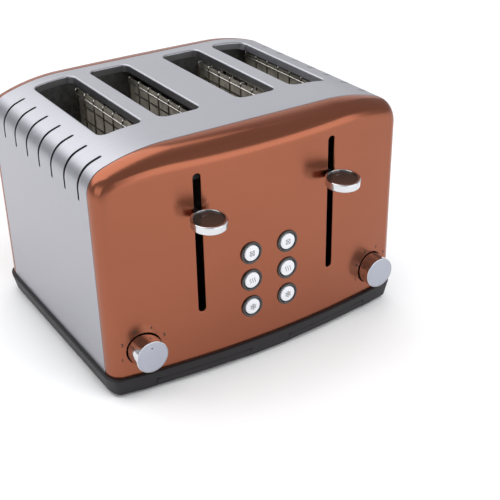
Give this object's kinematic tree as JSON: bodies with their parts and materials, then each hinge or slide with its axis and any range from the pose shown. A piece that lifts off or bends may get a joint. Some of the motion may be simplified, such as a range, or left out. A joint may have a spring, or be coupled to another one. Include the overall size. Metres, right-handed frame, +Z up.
{
  "type": "pop up toaster",
  "caption": "Toaster with two levers, wide bread slots, push buttons, browning dials and slide-out crumb trays, in copper and silver coloured steel on a dark base.",
  "frame": {"origin": "on the surface that the toaster stands on, at the middle of its overall width and depth", "axes": "+Z up, -Y towards the front panel with its levers, +X to the right of someone facing the front"},
  "size_m": [0.2944, 0.2783, 0.2081],
  "materials": {
    "silver_steel": "satin",
    "copper_steel": "horizontally brushed, lacquered copper colour",
    "charcoal_plastic": "fine matte",
    "rubber": "matte",
    "zinc_steel": "zinc plated",
    "black_plastic": "matte",
    "mica": "mica sheet",
    "heater_ribbon": "bare ribbon",
    "spring_steel": "bright",
    "coil_copper": "varnished winding",
    "circuit_board": "lacquered",
    "black_gloss": "gloss",
    "guide_wire": "heat darkened wire",
    "chrome": "mirror",
    "brown_plastic": "gloss",
    "cap_plastic": "semi gloss",
    "dial_satin": "spun satin"
  },
  "bodies": {
    "housing": {"wrap_shell": "silver_steel", "front_panel": "copper_steel", "rear_panel": "copper_steel", "base": "charcoal_plastic", "feet": "rubber", "base_screws": "zinc_steel", "cord_inlet": "black_plastic", "front_bulkhead": "zinc_steel", "rear_bulkhead": "zinc_steel", "centre_divider": "zinc_steel", "side_shield_left": "zinc_steel", "side_shield_right": "zinc_steel", "heater_board_1": "mica", "heater_board_2": "mica", "heater_board_3": "mica", "heater_board_4": "mica", "heater_board_5": "mica", "heater_board_6": "mica", "heater_windings": "heater_ribbon", "guide_rods": "zinc_steel", "lift_spring_left": "spring_steel", "lift_spring_right": "spring_steel", "electromagnet_left": "coil_copper", "electromagnet_right": "coil_copper", "control_board": "circuit_board", "potentiometers": "black_plastic", "button_switches": "black_plastic", "button_bezels": "black_gloss", "dial_collars": "black_plastic"},
    "lever_left": {"carriage_left": "zinc_steel", "bread_rack_left": "guide_wire", "lever_knob_left": "chrome", "lever_inset_left": "brown_plastic"},
    "lever_right": {"carriage_right": "zinc_steel", "bread_rack_right": "guide_wire", "lever_knob_right": "chrome", "lever_inset_right": "brown_plastic"},
    "guide_1": {"bread_guide_1": "guide_wire"},
    "guide_2": {"bread_guide_2": "guide_wire"},
    "guide_3": {"bread_guide_3": "guide_wire"},
    "guide_4": {"bread_guide_4": "guide_wire"},
    "guide_5": {"bread_guide_5": "guide_wire"},
    "guide_6": {"bread_guide_6": "guide_wire"},
    "guide_7": {"bread_guide_7": "guide_wire"},
    "guide_8": {"bread_guide_8": "guide_wire"},
    "defrost_left": {"button_defrost_left": "cap_plastic"},
    "reheat_left": {"button_reheat_left": "cap_plastic"},
    "cancel_left": {"button_cancel_left": "cap_plastic"},
    "defrost_right": {"button_defrost_right": "cap_plastic"},
    "reheat_right": {"button_reheat_right": "cap_plastic"},
    "cancel_right": {"button_cancel_right": "cap_plastic"},
    "dial_left": {"dial_knob_left": "chrome", "dial_face_left": "dial_satin"},
    "dial_right": {"dial_knob_right": "chrome", "dial_face_right": "dial_satin"},
    "tray_left": {"crumb_tray_left": "zinc_steel", "tray_front_left": "charcoal_plastic"},
    "tray_right": {"crumb_tray_right": "zinc_steel", "tray_front_right": "charcoal_plastic"}
  },
  "joints": [
    {"name": "lever_left_slide", "type": "slide", "parent": "housing", "child": "lever_left", "axis": [0, 0, 1], "range_m": [-0.085, 0.022], "stiffness_N_per_m": 60, "springref_m": 0.0267, "deforming": ["lift_spring_left"]},
    {"name": "lever_right_slide", "type": "slide", "parent": "housing", "child": "lever_right", "axis": [0, 0, 1], "range_m": [-0.085, 0.022], "stiffness_N_per_m": 60, "springref_m": 0.0267, "deforming": ["lift_spring_right"]},
    {"name": "guide_1_swing", "type": "hinge", "parent": "housing", "child": "guide_1", "pos_m": [-0.1108, -0.04, 0.0455], "axis": [0, 1, 0], "range_deg": [-1.2, 4.2]},
    {"name": "guide_2_swing", "type": "hinge", "parent": "housing", "child": "guide_2", "pos_m": [-0.0709, -0.04, 0.0455], "axis": [0, 1, 0], "range_deg": [-4.2, 1.2]},
    {"name": "guide_3_swing", "type": "hinge", "parent": "housing", "child": "guide_3", "pos_m": [-0.0571, -0.04, 0.0455], "axis": [0, 1, 0], "range_deg": [-1.2, 4.2]},
    {"name": "guide_4_swing", "type": "hinge", "parent": "housing", "child": "guide_4", "pos_m": [-0.0172, -0.04, 0.0455], "axis": [0, 1, 0], "range_deg": [-4.2, 1.2]},
    {"name": "guide_5_swing", "type": "hinge", "parent": "housing", "child": "guide_5", "pos_m": [0.0172, -0.04, 0.0455], "axis": [0, 1, 0], "range_deg": [-1.2, 4.2]},
    {"name": "guide_6_swing", "type": "hinge", "parent": "housing", "child": "guide_6", "pos_m": [0.0571, -0.04, 0.0455], "axis": [0, 1, 0], "range_deg": [-4.2, 1.2]},
    {"name": "guide_7_swing", "type": "hinge", "parent": "housing", "child": "guide_7", "pos_m": [0.0709, -0.04, 0.0455], "axis": [0, 1, 0], "range_deg": [-1.2, 4.2]},
    {"name": "guide_8_swing", "type": "hinge", "parent": "housing", "child": "guide_8", "pos_m": [0.1108, -0.04, 0.0455], "axis": [0, 1, 0], "range_deg": [-4.2, 1.2]},
    {"name": "defrost_left_press", "type": "slide", "parent": "housing", "child": "defrost_left", "axis": [0, 1, 0], "range_m": [0, 0.0015], "stiffness_N_per_m": 300},
    {"name": "reheat_left_press", "type": "slide", "parent": "housing", "child": "reheat_left", "axis": [0, 1, 0], "range_m": [0, 0.0015], "stiffness_N_per_m": 300},
    {"name": "cancel_left_press", "type": "slide", "parent": "housing", "child": "cancel_left", "axis": [0, 1, 0], "range_m": [0, 0.0015], "stiffness_N_per_m": 300},
    {"name": "defrost_right_press", "type": "slide", "parent": "housing", "child": "defrost_right", "axis": [0, 1, 0], "range_m": [0, 0.0015], "stiffness_N_per_m": 300},
    {"name": "reheat_right_press", "type": "slide", "parent": "housing", "child": "reheat_right", "axis": [0, 1, 0], "range_m": [0, 0.0015], "stiffness_N_per_m": 300},
    {"name": "cancel_right_press", "type": "slide", "parent": "housing", "child": "cancel_right", "axis": [0, 1, 0], "range_m": [0, 0.0015], "stiffness_N_per_m": 300},
    {"name": "dial_left_turn", "type": "hinge", "parent": "housing", "child": "dial_left", "pos_m": [-0.116, -0.1107, 0.0431], "axis": [0, 1, 0], "range_deg": [-120, 120]},
    {"name": "dial_right_turn", "type": "hinge", "parent": "housing", "child": "dial_right", "pos_m": [0.116, -0.1107, 0.0431], "axis": [0, 1, 0], "range_deg": [-120, 120]},
    {"name": "tray_left_slide", "type": "slide", "parent": "housing", "child": "tray_left", "axis": [0, -1, 0], "range_m": [0, 0.19]},
    {"name": "tray_right_slide", "type": "slide", "parent": "housing", "child": "tray_right", "axis": [0, -1, 0], "range_m": [0, 0.19]}
  ],
  "couplings": [
    {"joint": "guide_1_swing", "follows": "lever_left_slide", "rad_per_m": -0.82},
    {"joint": "guide_2_swing", "follows": "lever_left_slide", "rad_per_m": 0.82},
    {"joint": "guide_3_swing", "follows": "lever_left_slide", "rad_per_m": -0.82},
    {"joint": "guide_4_swing", "follows": "lever_left_slide", "rad_per_m": 0.82},
    {"joint": "guide_5_swing", "follows": "lever_right_slide", "rad_per_m": -0.82},
    {"joint": "guide_6_swing", "follows": "lever_right_slide", "rad_per_m": 0.82},
    {"joint": "guide_7_swing", "follows": "lever_right_slide", "rad_per_m": -0.82},
    {"joint": "guide_8_swing", "follows": "lever_right_slide", "rad_per_m": 0.82}
  ]
}
